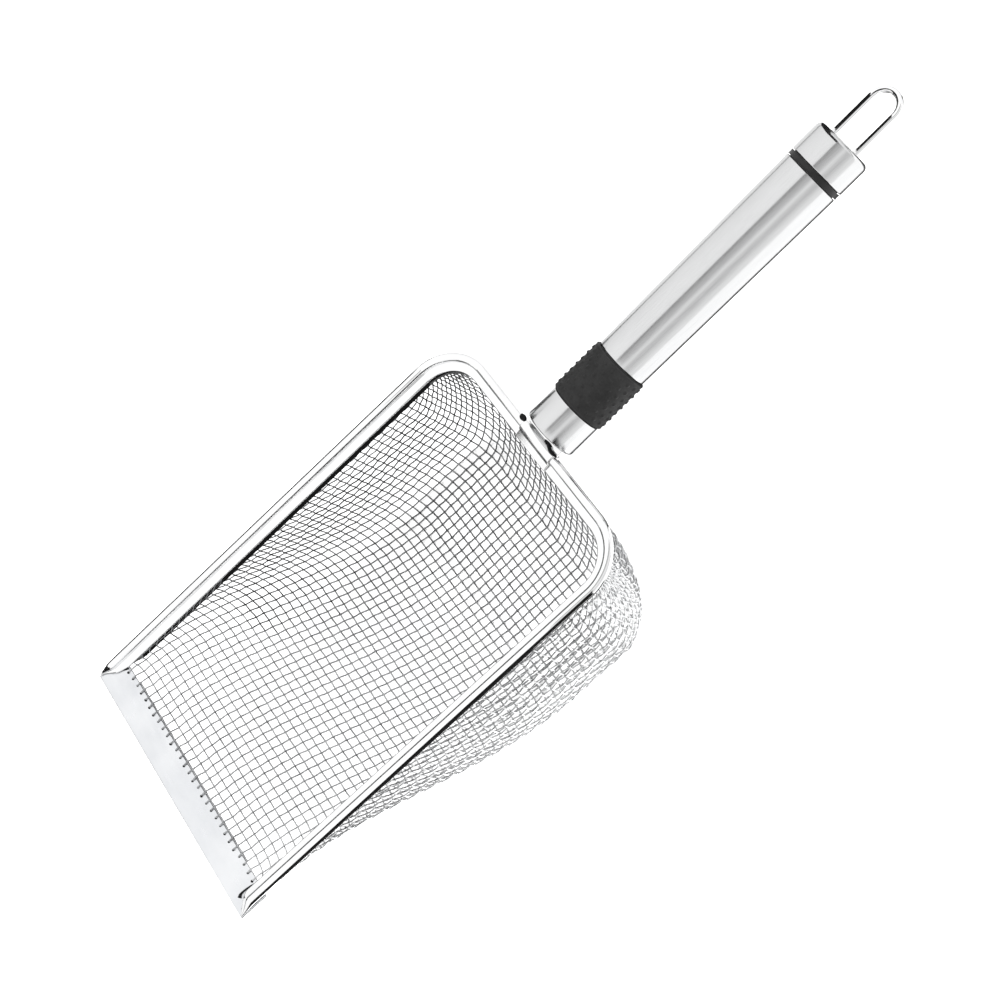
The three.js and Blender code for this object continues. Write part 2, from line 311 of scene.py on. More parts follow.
def corner_cut(distance):
    """How far the rounded corner cuts in, at a distance along a side from its end."""
    run = np.maximum(RIM_CORNER - distance, 0)
    return RIM_CORNER - np.sqrt(RIM_CORNER ** 2 - run ** 2)


def wall_curve(distance, run, fullness):
    """Rise from 0 at the rim to 1 where the wall has turned into the floor."""
    rest = 1 - np.minimum(distance / run, 1)
    return (1 - rest ** fullness) ** (1 / fullness)


def smooth_step(value):
    value = np.clip(value, 0, 1)
    return value * value * (3 - 2 * value)


def pan_surface(along, across):
    """Middle of the cloth, half of it: across is 0 in the middle and 1 at the side rim.

    along is 0 at the mouth and 1 at the rear rim. Past the rim the surface carries on
    straight up, and past the mouth it carries on level.
    """
    past_mouth = np.maximum(-along, 0) * CLOTH_LENGTH
    past_rim = np.maximum(along - 1, 0) * CLOTH_LENGTH + np.maximum(across - 1, 0) * HALF_WIDTH
    along = np.clip(along, 0, 1)
    across = np.clip(across, 0, 1)
    rear_x = corner_cut(HALF_WIDTH - across * (HALF_WIDTH - CORNER_INSET))
    x = CLOTH_LENGTH * (1 - along) + rear_x * along
    side_x = CLOTH_LENGTH * (1 - along) + CORNER_INSET * along
    side_y = HALF_WIDTH - corner_cut(side_x)

    from_side = (1 - across) * HALF_WIDTH
    from_rear = (1 - along) * CLOTH_LENGTH
    ramp = np.clip((CLOTH_LENGTH - x) / (CLOTH_LENGTH - FLOOR_FLAT_FROM), 0, 1)
    floor_drop = CLOTH_DROP * ((1 - np.cos(np.pi * ramp)) / 2) ** FLOOR_FULLNESS
    drop = floor_drop * wall_curve(from_rear, REAR_WALL_RUN, REAR_WALL_FULLNESS)
    side = wall_curve(from_side, SIDE_WALL_RUN, SIDE_WALL_FULLNESS)
    turn = np.arccos(1 - np.minimum(from_side / SIDE_WALL_RUN, 1))
    bulge = SIDE_WALL_BULGE * np.sin(2 * turn) * drop / CLOTH_DROP
    lift = CLOTH_LIFT * smooth_step(1 - (CLOTH_LENGTH - x) / LIFT_RUN)
    return np.stack([x + past_mouth, across * side_y + bulge,
                     CLOTH_MOUTH + lift - drop * side + past_rim], -1)


def wall_stations(run, reach):
    """Distances from an edge, close together in the wall's curve."""
    curve = run * (1 - np.cos(np.linspace(0, np.pi / 2, 400, endpoint=False)))
    return np.concatenate([curve, np.linspace(run, reach, 800)])


def evenly_spaced(parameter, points):
    """Values of a parameter at even steps of length along a line of points."""
    lengths = np.linalg.norm(np.diff(points, axis=0), axis=1)
    travelled = np.concatenate([[0], np.cumsum(lengths)])
    count = int(round(travelled[-1] / TABLE_STEP))
    return np.interp(np.linspace(0, travelled[-1], count + 1), travelled, parameter)


class PanTable:
    """The pan's surface on a grid of rows and columns about a millimetre apart.

    A place is a fractional (row, column). Rows run from the mouth to the rear and columns
    from the middle to the side.
    """

    def __init__(self):
        margin = np.arange(1, TABLE_MARGIN + 1) * TABLE_STEP
        across = 1 - wall_stations(SIDE_WALL_RUN, HALF_WIDTH)[::-1] / HALF_WIDTH
        deepest = 1 - STRAIGHT_WIRE_X / CLOTH_LENGTH
        across = evenly_spaced(across, pan_surface(np.full_like(across, deepest), across))
        along = (1 - wall_stations(REAR_WALL_RUN, CLOTH_LENGTH) / CLOTH_LENGTH)[::-1]
        along = evenly_spaced(along, pan_surface(along, np.zeros_like(along)))
        self.mouth_row = TABLE_MARGIN
        self.rear_row = TABLE_MARGIN + len(along) - 1
        self.side_column = len(across) - 1
        along = np.concatenate([-margin[::-1] / CLOTH_LENGTH, along, 1 + margin / CLOTH_LENGTH])
        across = np.concatenate([across, 1 + margin / HALF_WIDTH])
        self.points = pan_surface(*np.meshgrid(along, across, indexing="ij"))
        self.limit = np.array(self.points.shape[:2]) - 1.01

    def sample(self, place):
        """The point at each place, and its change per row and per column."""
        place = np.clip(place, 0, self.limit)
        cell = place.astype(int)
        row, column = cell[..., 0], cell[..., 1]
        down = (place[..., 0] - row)[..., None]
        right = (place[..., 1] - column)[..., None]
        a, b = self.points[row, column], self.points[row + 1, column]
        c, d = self.points[row, column + 1], self.points[row + 1, column + 1]
        point = (a * (1 - down) + b * down) * (1 - right) + (c * (1 - down) + d * down) * right
        per_row = (b - a) * (1 - right) + (d - c) * right
        per_column = (c - a) * (1 - down) + (d - b) * down
        return point, per_row, per_column

    def depth_inside(self, place, past_mouth):
        """Distance of each place inside the cloth's edges, below 0 outside them."""
        rim = RIM_ENTRY / TABLE_STEP
        return np.minimum.reduce([
            place[:, 0] - (self.mouth_row - past_mouth / TABLE_STEP),
            self.rear_row + rim - place[:, 0],
            self.side_column + rim - place[:, 1],
        ])


def settle_crossings(table, first, second, guess):
    """Places one wire pitch from both neighbours, found by damped Newton steps."""
    neighbours = (table.sample(first)[0], table.sample(second)[0])
    damping = SOLVER_DAMPING * np.eye(2)
    place = guess
    for _ in range(SOLVER_STEPS):
        place = np.clip(place, 0, table.limit)
        point, per_row, per_column = table.sample(place)
        slopes = []
        errors = []
        for neighbour in neighbours:
            reach = point - neighbour
            length = np.linalg.norm(reach, axis=1) + 1e-9
            slope = np.stack([(reach * per_row).sum(1), (reach * per_column).sum(1)], 1)
            slopes.append(slope / length[:, None])
            errors.append(length - WIRE_PITCH)
        slope = np.stack(slopes, 1)
        error = np.stack(errors, 1)[..., None]
        transposed = slope.transpose(0, 2, 1)
        move = -np.linalg.solve(transposed @ slope + damping, transposed @ error)[..., 0]
        largest = np.abs(move).max(1, keepdims=True)
        place = place + move / np.maximum(largest / LONGEST_MOVE, 1)
    return np.clip(place, 0, table.limit)


def half_net(table, start_row, direction, rows, columns):
    """Crossings ahead of the straight wire (direction -1) or behind it, by diagonals."""
    pitch = WIRE_PITCH / TABLE_STEP
    net = np.full((rows + 1, columns + 1, 2), np.nan)
    net[:, 0, 0] = start_row + direction * np.arange(rows + 1) * pitch
    net[:, 0, 1] = 0
    net[0, :, 0] = start_row
    net[0, :, 1] = np.arange(columns + 1) * pitch
    for diagonal in range(2, rows + columns + 1):
        row = np.arange(max(1, diagonal - columns), min(rows, diagonal - 1) + 1)
        column = diagonal - row
        before, beside = net[row - 1, column], net[row, column - 1]
        guess = before + beside - net[row - 1, column - 1]
        net[row, column] = settle_crossings(table, before, beside, guess)
    return net


def cloth_net(table):
    """Places of all crossings of the half cloth: square cells, draped over the pan."""
    rows = np.arange(len(table.points))
    start_row = np.interp(-STRAIGHT_WIRE_X, -table.points[:, 0, 0], rows)
    pitch = WIRE_PITCH / TABLE_STEP
    columns = int(table.limit[1] / pitch)
    ahead = half_net(table, start_row, -1, int(start_row / pitch), columns)
    behind = half_net(table, start_row, 1, int((table.limit[0] - start_row) / pitch), columns)
    return np.concatenate([ahead[::-1], behind[1:]])


def smooth_line(places):
    """Catmull-Rom curve through places, and each point's position counted in cells."""
    count = len(places)
    steps = np.arange(0, (count - 1) * STEPS_PER_CELL + 1) / STEPS_PER_CELL
    cell = np.minimum(steps.astype(int), count - 2)
    t = (steps - cell)[:, None]
    ends = np.concatenate([[2 * places[0] - places[1]], places, [2 * places[-1] - places[-2]]])
    p0, p1, p2, p3 = (ends[cell + shift] for shift in range(4))
    curve = p1 + (p2 - p0) * t / 2
    curve = curve + (2 * p0 - 5 * p1 + 4 * p2 - p3) * t ** 2 / 2
    curve = curve + (3 * p1 - p0 - 3 * p2 + p3) * t ** 3 / 2
    return curve, steps


def crimped_wire(table, places, parity):
    """A wire's centreline, over and under its neighbours, and its places on the table.

    Places with a negative column lie on the -Y half.
    """
    curve, steps = smooth_line(places)
    side = np.where(curve[:, 1:] < 0, -1.0, 1.0)
    folded = np.concatenate([curve[:, :1], np.abs(curve[:, 1:])], 1)
    point, per_row, per_column = table.sample(folded)
    normal = np.cross(per_column, per_row)
    normal /= np.linalg.norm(normal, axis=1, keepdims=True) + 1e-12
    line = point + normal * (CRIMP * np.cos(np.pi * (steps + parity)))[:, None]
    line[:, 1:2] *= side
    return line, folded


def stretches_inside(line, depth):
    """Parts of a line where depth is above 0, cut where it passes through 0."""
    stretches = []
    current = []
    for index in range(len(line)):
        if index and (depth[index] > 0) != (depth[index - 1] > 0):
            share = depth[index - 1] / (depth[index - 1] - depth[index])
            current.append(line[index - 1] + share * (line[index] - line[index - 1]))
            if depth[index] <= 0:
                stretches.append(np.array(current))
                current = []
        if depth[index] > 0:
            current.append(line[index])
    if current:
        stretches.append(np.array(current))
    return [stretch for stretch in stretches if len(stretch) > 3]


def woven_wires():
    """Centrelines of the pan's long wires and of its cross wires."""
    table = PanTable()
    net = cloth_net(table)
    random = np.random.default_rng(7)
    long_wires = []
    cross_wires = []
    for column in range(net.shape[1]):
        line, places = crimped_wire(table, net[:, column], column)
        for mirror in ([1, 1, 1], [1, -1, 1]) if column else ([1, 1, 1],):
            tip = TIP_OVERLAP + random.uniform(-TIP_VARIATION, TIP_VARIATION)
            depth = table.depth_inside(places, GAP + tip)
            long_wires += [wire * mirror for wire in stretches_inside(line, depth)]
    for row in range(net.shape[0]):
        whole = np.concatenate([net[row][:0:-1] * [1, -1], net[row]])
        line, places = crimped_wire(table, whole, row + net.shape[1])
        cross_wires += stretches_inside(line, table.depth_inside(places, -GAP))
    return long_wires, cross_wires


# ---- rim ----

SKIRT = 2.6                  # the flange turns down by this much below its bend
FLANGE_BEND = 0.6
CREASE = 200.0               # where the flange leaves the bead, in degrees from outside
ROOT = -135.0
TIP_TAPER = 7.0              # length over which the bead is pinched to a point
TIP_HALF_WIDTH = 0.3
TIP_HALF_HEIGHT = 0.4
FLANGE_FALL = 0.13           # the flange drops by this share of its reach
LEAST_FLANGE = 0.12
LEAST_SKIRT = 0.02
NEAR_FLANGE_ROUNDED_FROM = 179.5
FAR_FLANGE_SETBACK = 0.5
SKIRT_FADE_BEFORE = 7.0      # the skirt starts to fade this far behind the digging edge
SKIRT_FADE_RUN = 6.0


RIM_SIDE = PAN_LENGTH - RIM_END_SETBACK - RIM_CORNER
RIM_BEND = RIM_CORNER * math.pi / 2
RIM_REAR = PAN_WIDTH - 2 * RIM_CORNER
RIM_END = PAN_LENGTH - RIM_END_SETBACK
RIM_TIP = 16.0               # stations are closer together over this length


def rim_place(distance):
    """Centreline point and outward direction, at a distance from the rim's +Y tip."""
    middle = RIM_SIDE + RIM_BEND + RIM_REAR / 2
    side = 1 if distance <= middle else -1
    distance = middle - abs(distance - middle)
    if distance <= RIM_SIDE:
        return (RIM_CORNER + RIM_SIDE - distance, side * HALF_WIDTH), (0, side)
    turn = min((distance - RIM_SIDE) / RIM_CORNER, math.pi / 2)
    back = max(distance - RIM_SIDE - RIM_BEND, 0)
    x = RIM_CORNER * (1 - math.sin(turn))
    y = HALF_WIDTH - RIM_CORNER * (1 - math.cos(turn)) - back
    return (x, side * y), (-math.sin(turn), side * math.cos(turn))


def rim_distances():
    """Stations of the rim, close together at its tips and corners."""
    ends = (0, RIM_TIP, RIM_SIDE, RIM_SIDE + RIM_BEND, RIM_SIDE + RIM_BEND + RIM_REAR / 2)
    half = np.concatenate([np.linspace(start, end, count, endpoint=False)
                           for start, end, count in zip(ends, ends[1:], (40, 60, 40, 12))])
    total = 2 * (RIM_SIDE + RIM_BEND) + RIM_REAR
    return np.concatenate([half, [total / 2], total - half[::-1]])


def rim_profile(half_width, half_height, flange, skirt):
    """Outline of the rim's section as (outward, up) points.

    The bead's outer edge and underside stay put as it is pinched.
    """
    angles = np.radians(np.linspace(ROOT, CREASE, 40))
    centre = (BEAD_RADIUS - half_width, half_height - BEAD_RADIUS)
    bead = np.stack([centre[0] + half_width * np.cos(angles),
                     centre[1] + half_height * np.sin(angles)], 1)
    bend = min(FLANGE_BEND, 0.45 * flange)
    edge = bead[-1, 0] - flange
    top = bead[-1, 1] - FLANGE_FALL * flange
    sheet = min(FLANGE_SHEET, 0.6 * flange)
    corner = arc(edge + bend, top - bend, bend, 98, 180, 7)
    lip_bottom = top - bend - skirt
    lip = arc(edge + sheet / 2, lip_bottom, sheet / 2, 190, 350, 5)
    inside = [(edge + sheet, top - bend - 0.2 * skirt), (edge + sheet + 0.2, top - sheet)]
    return np.concatenate([bead, corner, lip, inside])


def rim_shape(x, side):
    """Section dimensions at x: the tips are pinched, and the flange ends short of them."""
    pinch = smooth_step((x - (RIM_END - TIP_TAPER)) / TIP_TAPER)
    half_width = BEAD_RADIUS + (TIP_HALF_WIDTH - BEAD_RADIUS) * pinch
    half_height = BEAD_RADIUS + (TIP_HALF_HEIGHT - BEAD_RADIUS) * pinch
    full = FLANGE_REACH - BEAD_RADIUS * math.cos(math.radians(180 - CREASE))
    if side > 0:
        run = RIM_END - NEAR_FLANGE_ROUNDED_FROM
        share = math.sqrt(max(1 - max((x - NEAR_FLANGE_ROUNDED_FROM) / run, 0) ** 2, 0))
    else:
        run = RIM_END - FAR_FLANGE_SETBACK - PLATE_REAR
        share = 1 - min(max((x - PLATE_REAR) / run, 0), 1)
    skirt = SKIRT * (1 - smooth_step((x - (PLATE_REAR - SKIRT_FADE_BEFORE)) / SKIRT_FADE_RUN))
    return half_width, half_height, max(full * share, LEAST_FLANGE), max(skirt, LEAST_SKIRT)


def rim_object():
    sections = []
    for distance in rim_distances():
        (x, y), (out_x, out_y) = rim_place(distance)
        profile = rim_profile(*rim_shape(x, math.copysign(1, y)))
        sections.append(np.stack([x + out_x * profile[:, 0], y + out_y * profile[:, 0],
                                  profile[:, 1]], 1))
    return sweep_object("rim", np.array(sections), 50)


def rim_core_object():
    """Core wire inside the bead, ending where the bead is pinched."""
    distances = [d for d in rim_distances() if rim_place(d)[0][0] < PAN_LENGTH - TIP_TAPER - 2]
    line = np.array([(*rim_place(distance)[0], 0) for distance in distances])
    return sweep_object("rim_core", tube_sections(line, CORE_WIRE_RADIUS, 16))


# ---- digging edge ----

EDGE_ROUNDING = 0.36
END_STEP = 0.08              # last station before each end of the strip
WAVE_HEIGHT = 0.05
WELD_RADIUS = 0.46
WELD_HEIGHT = 0.36
WELD_LIFT = 0.1
WELD_SIZES = (0.7, 1.15)
BLOB_UNEVENNESS = 0.18
RUN_POINTS = 41
RUN_SMOOTHING = 3            # points on each side that a run is averaged over
RUN_SIDES = 12


def plate_object():
    """Strip across the mouth with rounded long edges and a slight hand-worked waviness."""
    half = HALF_WIDTH + PLATE_OVERHANG
    r = EDGE_ROUNDING
    bottom = PLATE_TOP - PLATE_THICKNESS
    top_run = np.linspace(PAN_LENGTH - r, PLATE_REAR + r, 16)[1:-1]
    outline = np.concatenate([
        arc(PAN_LENGTH - r, bottom + r, r, -90, 0, 5),
        arc(PAN_LENGTH - r, PLATE_TOP - r, r, 0, 90, 5),
        np.stack([top_run, np.full_like(top_run, PLATE_TOP)], 1),
        arc(PLATE_REAR + r, PLATE_TOP - r, r, 90, 180, 5),
        arc(PLATE_REAR + r, bottom + r, r, 180, 270, 5),
    ])
    stations = np.concatenate([[-half, -half + END_STEP], np.linspace(-half + r, half - r, 120),
                               [half - END_STEP, half]])
    sections = []
    for y in stations:
        inset = r - math.sqrt(max(r ** 2 - max(abs(y) - half + r, 0) ** 2, 0))
        x = np.clip(outline[:, 0], PLATE_REAR + inset, PAN_LENGTH - inset)
        z = np.clip(outline[:, 1], bottom + inset, PLATE_TOP - inset)
        wave = [WAVE_HEIGHT * noise.noise(Vector((px * 0.12, y * 0.06, 3.0))) for px in x]
        sections.append(np.stack([x, np.full_like(x, y), z - np.abs(wave)], 1))
    return sweep_object("digging_edge", np.array(sections), 50)


def blob(centre, radii, seed):
    """Points and faces of a small uneven blob, an ellipsoid roughened by noise: a real weld at a
    wire end, and the painted shadow spot at the neck.
    """
    work = bmesh.new()
    bmesh.ops.create_icosphere(work, subdivisions=2, radius=1.0)
    for vertex in work.verts:
        swell = 1 + BLOB_UNEVENNESS * noise.noise(vertex.co * 1.3 + Vector((seed, 0, 0)))
        vertex.co = Vector(centre) + Vector([c * r * swell for c, r in zip(vertex.co, radii)])
    points = np.array([vertex.co for vertex in work.verts])
    faces = [[vertex.index for vertex in face.verts] for face in work.faces]
    work.free()
    return points, faces


def edge_welds_object(long_wires):
    """A spot of weld where each long wire ends on the digging edge."""
    random = np.random.default_rng(11)
    blobs = []
    for index, wire in enumerate(long_wires):
        tip = wire[0] if wire[0][0] > wire[-1][0] else wire[-1]
        size = random.uniform(*WELD_SIZES)
        if tip[0] > PLATE_REAR:
            radii = (WELD_RADIUS * size, WELD_RADIUS * size, WELD_HEIGHT * size)
            blobs.append(blob((tip[0], tip[1], PLATE_TOP + WELD_LIFT), radii, index))
    return bodies_object("edge_welds", blobs)


def shadow_run(points, thin, thick, swell):
    """Points and faces of a dark run along points, for painted shadow, swelling from thin to
    thick.

    swell gives the share of the full swelling at each position from 0 to 1.
    """
    position = np.linspace(0, len(points) - 1, RUN_POINTS)
    kernel = np.ones(2 * RUN_SMOOTHING + 1) / (2 * RUN_SMOOTHING + 1)
    axes = []
    for values in np.transpose(points):
        values = np.interp(position, np.arange(len(points)), values)
        values = np.pad(values, RUN_SMOOTHING, mode="edge")
        axes.append(np.convolve(values, kernel, "valid"))
    radius = thin + (thick - thin) * swell(np.linspace(0, 1, RUN_POINTS))
    return swept(tube_sections(np.stack(axes, 1), radius, RUN_SIDES))


def painted_tip_shadows_object():
    """Painted shadow: near-black runs on the digging edge where the ends of the rim's flange shade
    it.
    """
    z = PLATE_TOP + 0.25
    near = shadow_run([(172.8, 50.6, z), (175.5, 49.9, z), (178.5, 49.6, z), (180.6, 49.7, z),
                     (181.6, 50.6, z)], 0.14, 0.65, lambda share: share ** 2)
    far = shadow_run([(172.9, -49.8, z), (176.0, -51.6, z), (180.0, -54.4, z), (183.2, -56.2, z)],
                   0.14, 0.34, lambda share: np.sin(np.pi * share))
    return bodies_object("painted_tip_shadows", [near, far])


# ---- neck ----

STRAP_CLEARANCE = 0.12
STRAP_BEVEL = 0.22
STRAP_TOE_REACH = 0.2        # the toe passes the flange's edge by this much
STRAP_TOE_BOTTOM = -1.0


def bracket_object():
    """Strap that lies on the flange, arches over the bead and runs back as a tongue."""
    inside = BEAD_RADIUS + STRAP_CLEARANCE
    outside = inside + BRACKET_SHEET
    tongue_top = HANDLE_DROP + TONGUE_THICKNESS / 2
    tongue_end = HANDLE_START - TONGUE_REACH
    arch_end = 180 - math.degrees(math.asin(tongue_top / outside))
    toe = FLANGE_REACH + STRAP_TOE_REACH
    outline = np.concatenate([
        [(inside, -0.3), (toe, STRAP_TOE_BOTTOM), (toe, STRAP_TOE_BOTTOM + BRACKET_SHEET)],
        arc(0, 0, outside, 12, arch_end, 16),
        [(tongue_end, tongue_top), (tongue_end, tongue_top - TONGUE_THICKNESS),
         (-inside, tongue_top - TONGUE_THICKNESS)],
        arc(0, 0, inside, 185, 0, 14),
    ])
    half = BRACKET_WIDTH / 2
    sections = [np.insert(outline, 1, y, axis=1) for y in (-half, half)]
    piece = sweep_object("neck_strap", np.array(sections), 30)
    bevel = piece.modifiers.new("bevel", "BEVEL")
    bevel.width = STRAP_BEVEL * MM
    bevel.segments = 3
    bevel.limit_method = "ANGLE"
    bevel.angle_limit = math.radians(40)
    apply_modifiers(piece, 40)
    return piece


def painted_neck_shadows_object():
    """Painted shadow: near-black blobs in the gaps beside the strap where shade falls, a spot at
    one end and a curved run at the other.
    """
    spot = blob((-1.35, -10.9, 1.3), (1.25, 1.75, 0.8), 3)
    run = shadow_run([(-2.5, 1.2, 1.0), (-2.75, 3.4, 1.1), (-2.2, 5.2, 1.8), (-1.7, 6.6, 2.2),
                    (-1.75, 8.4, 2.0), (-1.9, 9.7, 1.0)], 0.15, 0.62,
                   lambda share: np.sin(np.pi * (0.05 + 0.9 * share)) ** 0.6)
    return bodies_object("painted_neck_shadows", [spot, run])


# ---- handle ----

ROLLED_EDGE = 0.45
NUB_HEIGHT = 0.5
NUB_RADIUS = 0.8
NUB_ROW = 2.7
NUBS_AROUND = 18
SLEEVE_LIP = 0.9
SLEEVE_EDGE = 0.4
LIP_HEIGHT = 0.12
LIP_RUN = 0.5
RING_CROWN = 0.3
CAP_ROUNDING = 2.0


def span(start, end):
    """First and last stations of a handle piece, half a gap from each neighbour."""
    return start + GAP / 2, end - GAP / 2


def tube_slot(name, from_station, to_station):
    """Block with room for the bracket's tongue, level while the handle is pitched."""
    low = HANDLE_DROP - TONGUE_THICKNESS / 2 - GAP
    high = HANDLE_DROP + TONGUE_THICKNESS / 2 + GAP
    half = BRACKET_WIDTH / 2 + GAP
    corners = [(y, z) for y, z in ((-half, low), (half, low), (half, high), (-half, high))]
    sections = [[(HANDLE_START - station, y, z) for y, z in corners]
                for station in (from_station, to_station)]
    return sweep_object(name, np.array(sections, float))


def ferrule_object():
    inner = FERRULE_RADIUS - SHEET
    end = FERRULE_END - GAP / 2
    rim = arc(FERRULE_RADIUS - ROLLED_EDGE, end - ROLLED_EDGE, ROLLED_EDGE, 0, 90, 6)
    nose = arc(FERRULE_RADIUS - END_WALL, END_WALL, END_WALL, -90, 0, 8)
    sides = np.linspace(END_WALL, end - ROLLED_EDGE, 6)[1:-1]
    side = np.stack([np.full_like(sides, FERRULE_RADIUS), sides], 1)
    profile = np.concatenate([[(0, 0)], nose, side, rim,
                              [(inner, end), (inner, END_WALL), (0, END_WALL)]])
    piece = turned_object("ferrule", profile)
    cut(piece, tube_slot("slot", -1, 2 * END_WALL))
    return piece


def nub_relief(station, angle):
    """Height of the sleeve's moulded nubs, in staggered rows, and of its two end lips."""
    start, end = span(FERRULE_END, SLEEVE_END)
    rows = int((end - start - 2 * SLEEVE_LIP) / NUB_ROW)
    margin = (end - start - (rows - 1) * NUB_ROW) / 2
    height = np.zeros(np.broadcast(station, angle).shape)
    for row in range(rows):
        centre = start + margin + row * NUB_ROW
        shift = 0.5 * (row % 2)
        around = angle * NUBS_AROUND / (2 * np.pi) + shift
        off = (around - np.round(around)) * 2 * np.pi * SLEEVE_RADIUS / NUBS_AROUND
        apart = ((station - centre) ** 2 + off ** 2) / NUB_RADIUS ** 2
        height = height + NUB_HEIGHT * np.maximum(1 - apart, 0) ** 1.2
    return height


def sleeve_object():
    start, end = span(FERRULE_END, SLEEVE_END)
    edge = SLEEVE_EDGE
    stations = np.linspace(start + edge, end - edge, 90)
    from_lip = np.minimum(stations - start, end - stations) - edge
    lip = LIP_HEIGHT * np.exp(-(from_lip / LIP_RUN) ** 2)
    shoulder = SLEEVE_RADIUS - LIP_HEIGHT
    profile = np.concatenate([
        [(SLEEVE_BORE, start), (SLEEVE_RADIUS - edge, start), (shoulder, start + LIP_HEIGHT)],
        np.stack([SLEEVE_RADIUS + lip, stations], 1),
        [(shoulder, end - LIP_HEIGHT), (SLEEVE_RADIUS - edge, end), (SLEEVE_BORE, end)],
    ])
    on_top = profile[:, 0] > SLEEVE_RADIUS - 0.01

    def relief(station, angle):
        return nub_relief(station, angle) * on_top[:, None]

    return turned_object("grip", profile, segments=288, sharp=40, relief=relief)


def tube_object():
    start, end = span(SLEEVE_END, TUBE_END)
    r = ROLLED_EDGE
    stations = np.linspace(start + r, end - r, 24)
    grow = (TUBE_REAR_RADIUS - TUBE_FRONT_RADIUS) / (end - start)
    outer = np.stack([TUBE_FRONT_RADIUS + grow * (stations - start), stations], 1)
    profile = np.concatenate([
        arc(TUBE_FRONT_RADIUS - r, start + r, r, -90, 0, 6)[:-1],
        outer,
        arc(TUBE_REAR_RADIUS - r, end - r, r, 0, 90, 6)[1:],
        [(TUBE_REAR_RADIUS - SHEET, end), (TUBE_FRONT_RADIUS - SHEET, start)],
    ])
    return turned_object("tube", profile)


def ring_object():
    start, end = span(TUBE_END, RING_END)
    middle = (start + end) / 2
    half = (end - start) / 2
    crown = [(RING_RADIUS - RING_CROWN * math.cos(a), middle + half * math.sin(a))
             for a in np.linspace(-np.pi / 2, np.pi / 2, 13)]
    return turned_object("seal_ring", [(RING_BORE, start), *crown, (RING_BORE, end)])


def loop_line(foot):
    """Centreline of the hanging loop in the handle's frame."""
    bend_centre = CAP_END + LOOP_REACH - LOOP_WIRE_RADIUS - LOOP_BEND
    leg = np.linspace(foot, bend_centre, 30, endpoint=False)
    turn = np.linspace(np.pi / 2, -np.pi / 2, 41)
    x = np.concatenate([leg, bend_centre + LOOP_BEND * np.cos(turn), leg[::-1]])
    y = np.concatenate([np.full_like(leg, LOOP_BEND), LOOP_BEND * np.sin(turn),
                        np.full_like(leg, -LOOP_BEND)])
    return from_handle(np.stack([-x, y, np.zeros_like(x)], 1))


def loop_object():
    sections = tube_sections(loop_line(LOOP_FOOT), LOOP_WIRE_RADIUS, 24)
    return sweep_object("loop", sections)


def leg_hole(side):
    line = from_handle([(-station, side * LOOP_BEND, 0) for station in (CAP_END - 3, CAP_END + 2)])
    return sweep_object("hole", tube_sections(line, LOOP_WIRE_RADIUS + GAP, 24))


def cap_object():
    start = RING_END + GAP / 2
    r = ROLLED_EDGE
    inner = CAP_RADIUS - SHEET
    stations = np.linspace(start + r, CAP_END - CAP_ROUNDING, 8)[1:-1]
    side = np.stack([np.full_like(stations, CAP_RADIUS), stations], 1)
    profile = np.concatenate([
        [(0, CAP_END - END_WALL), (inner, CAP_END - END_WALL), (inner, start)],
        arc(CAP_RADIUS - r, start + r, r, -90, 0, 6),
        side,
        arc(CAP_RADIUS - CAP_ROUNDING, CAP_END - CAP_ROUNDING, CAP_ROUNDING, 0, 90, 14),
        [(0, CAP_END)],
    ])
    piece = turned_object("cap", profile)
    cut(piece, leg_hole(1), leg_hole(-1))
    return piece


# ---- materials ----


NEAR_WALL_PAINTED_LIGHT = (0.036, 0.052)   # Y, in metres, over which the wire colour turns lighter: painted light up the near wall


def add_node(tree, kind, inputs, **settings):
    """Outputs of a new shader node; each input is given a socket to link or a value."""
    node = tree.nodes.new("ShaderNode" + kind)
    for name, setting in settings.items():
        setattr(node, name, setting)
    for key, value in inputs.items():
        if isinstance(value, bpy.types.NodeSocket):
            tree.links.new(value, node.inputs[key])
        else:
            node.inputs[key].default_value = value
    return node.outputs


def add_ramp(tree, factor, stops):
    """Colours between stops of (position, (r, g, b))."""
    output = add_node(tree, "ValToRGB", {"Fac": factor})["Color"]
    elements = output.node.color_ramp.elements
    while len(elements) < len(stops):
        elements.new(0.5)
    for element, (position, colour) in zip(elements, stops):
        element.position = position
        element.color = (*colour, 1)
    return output


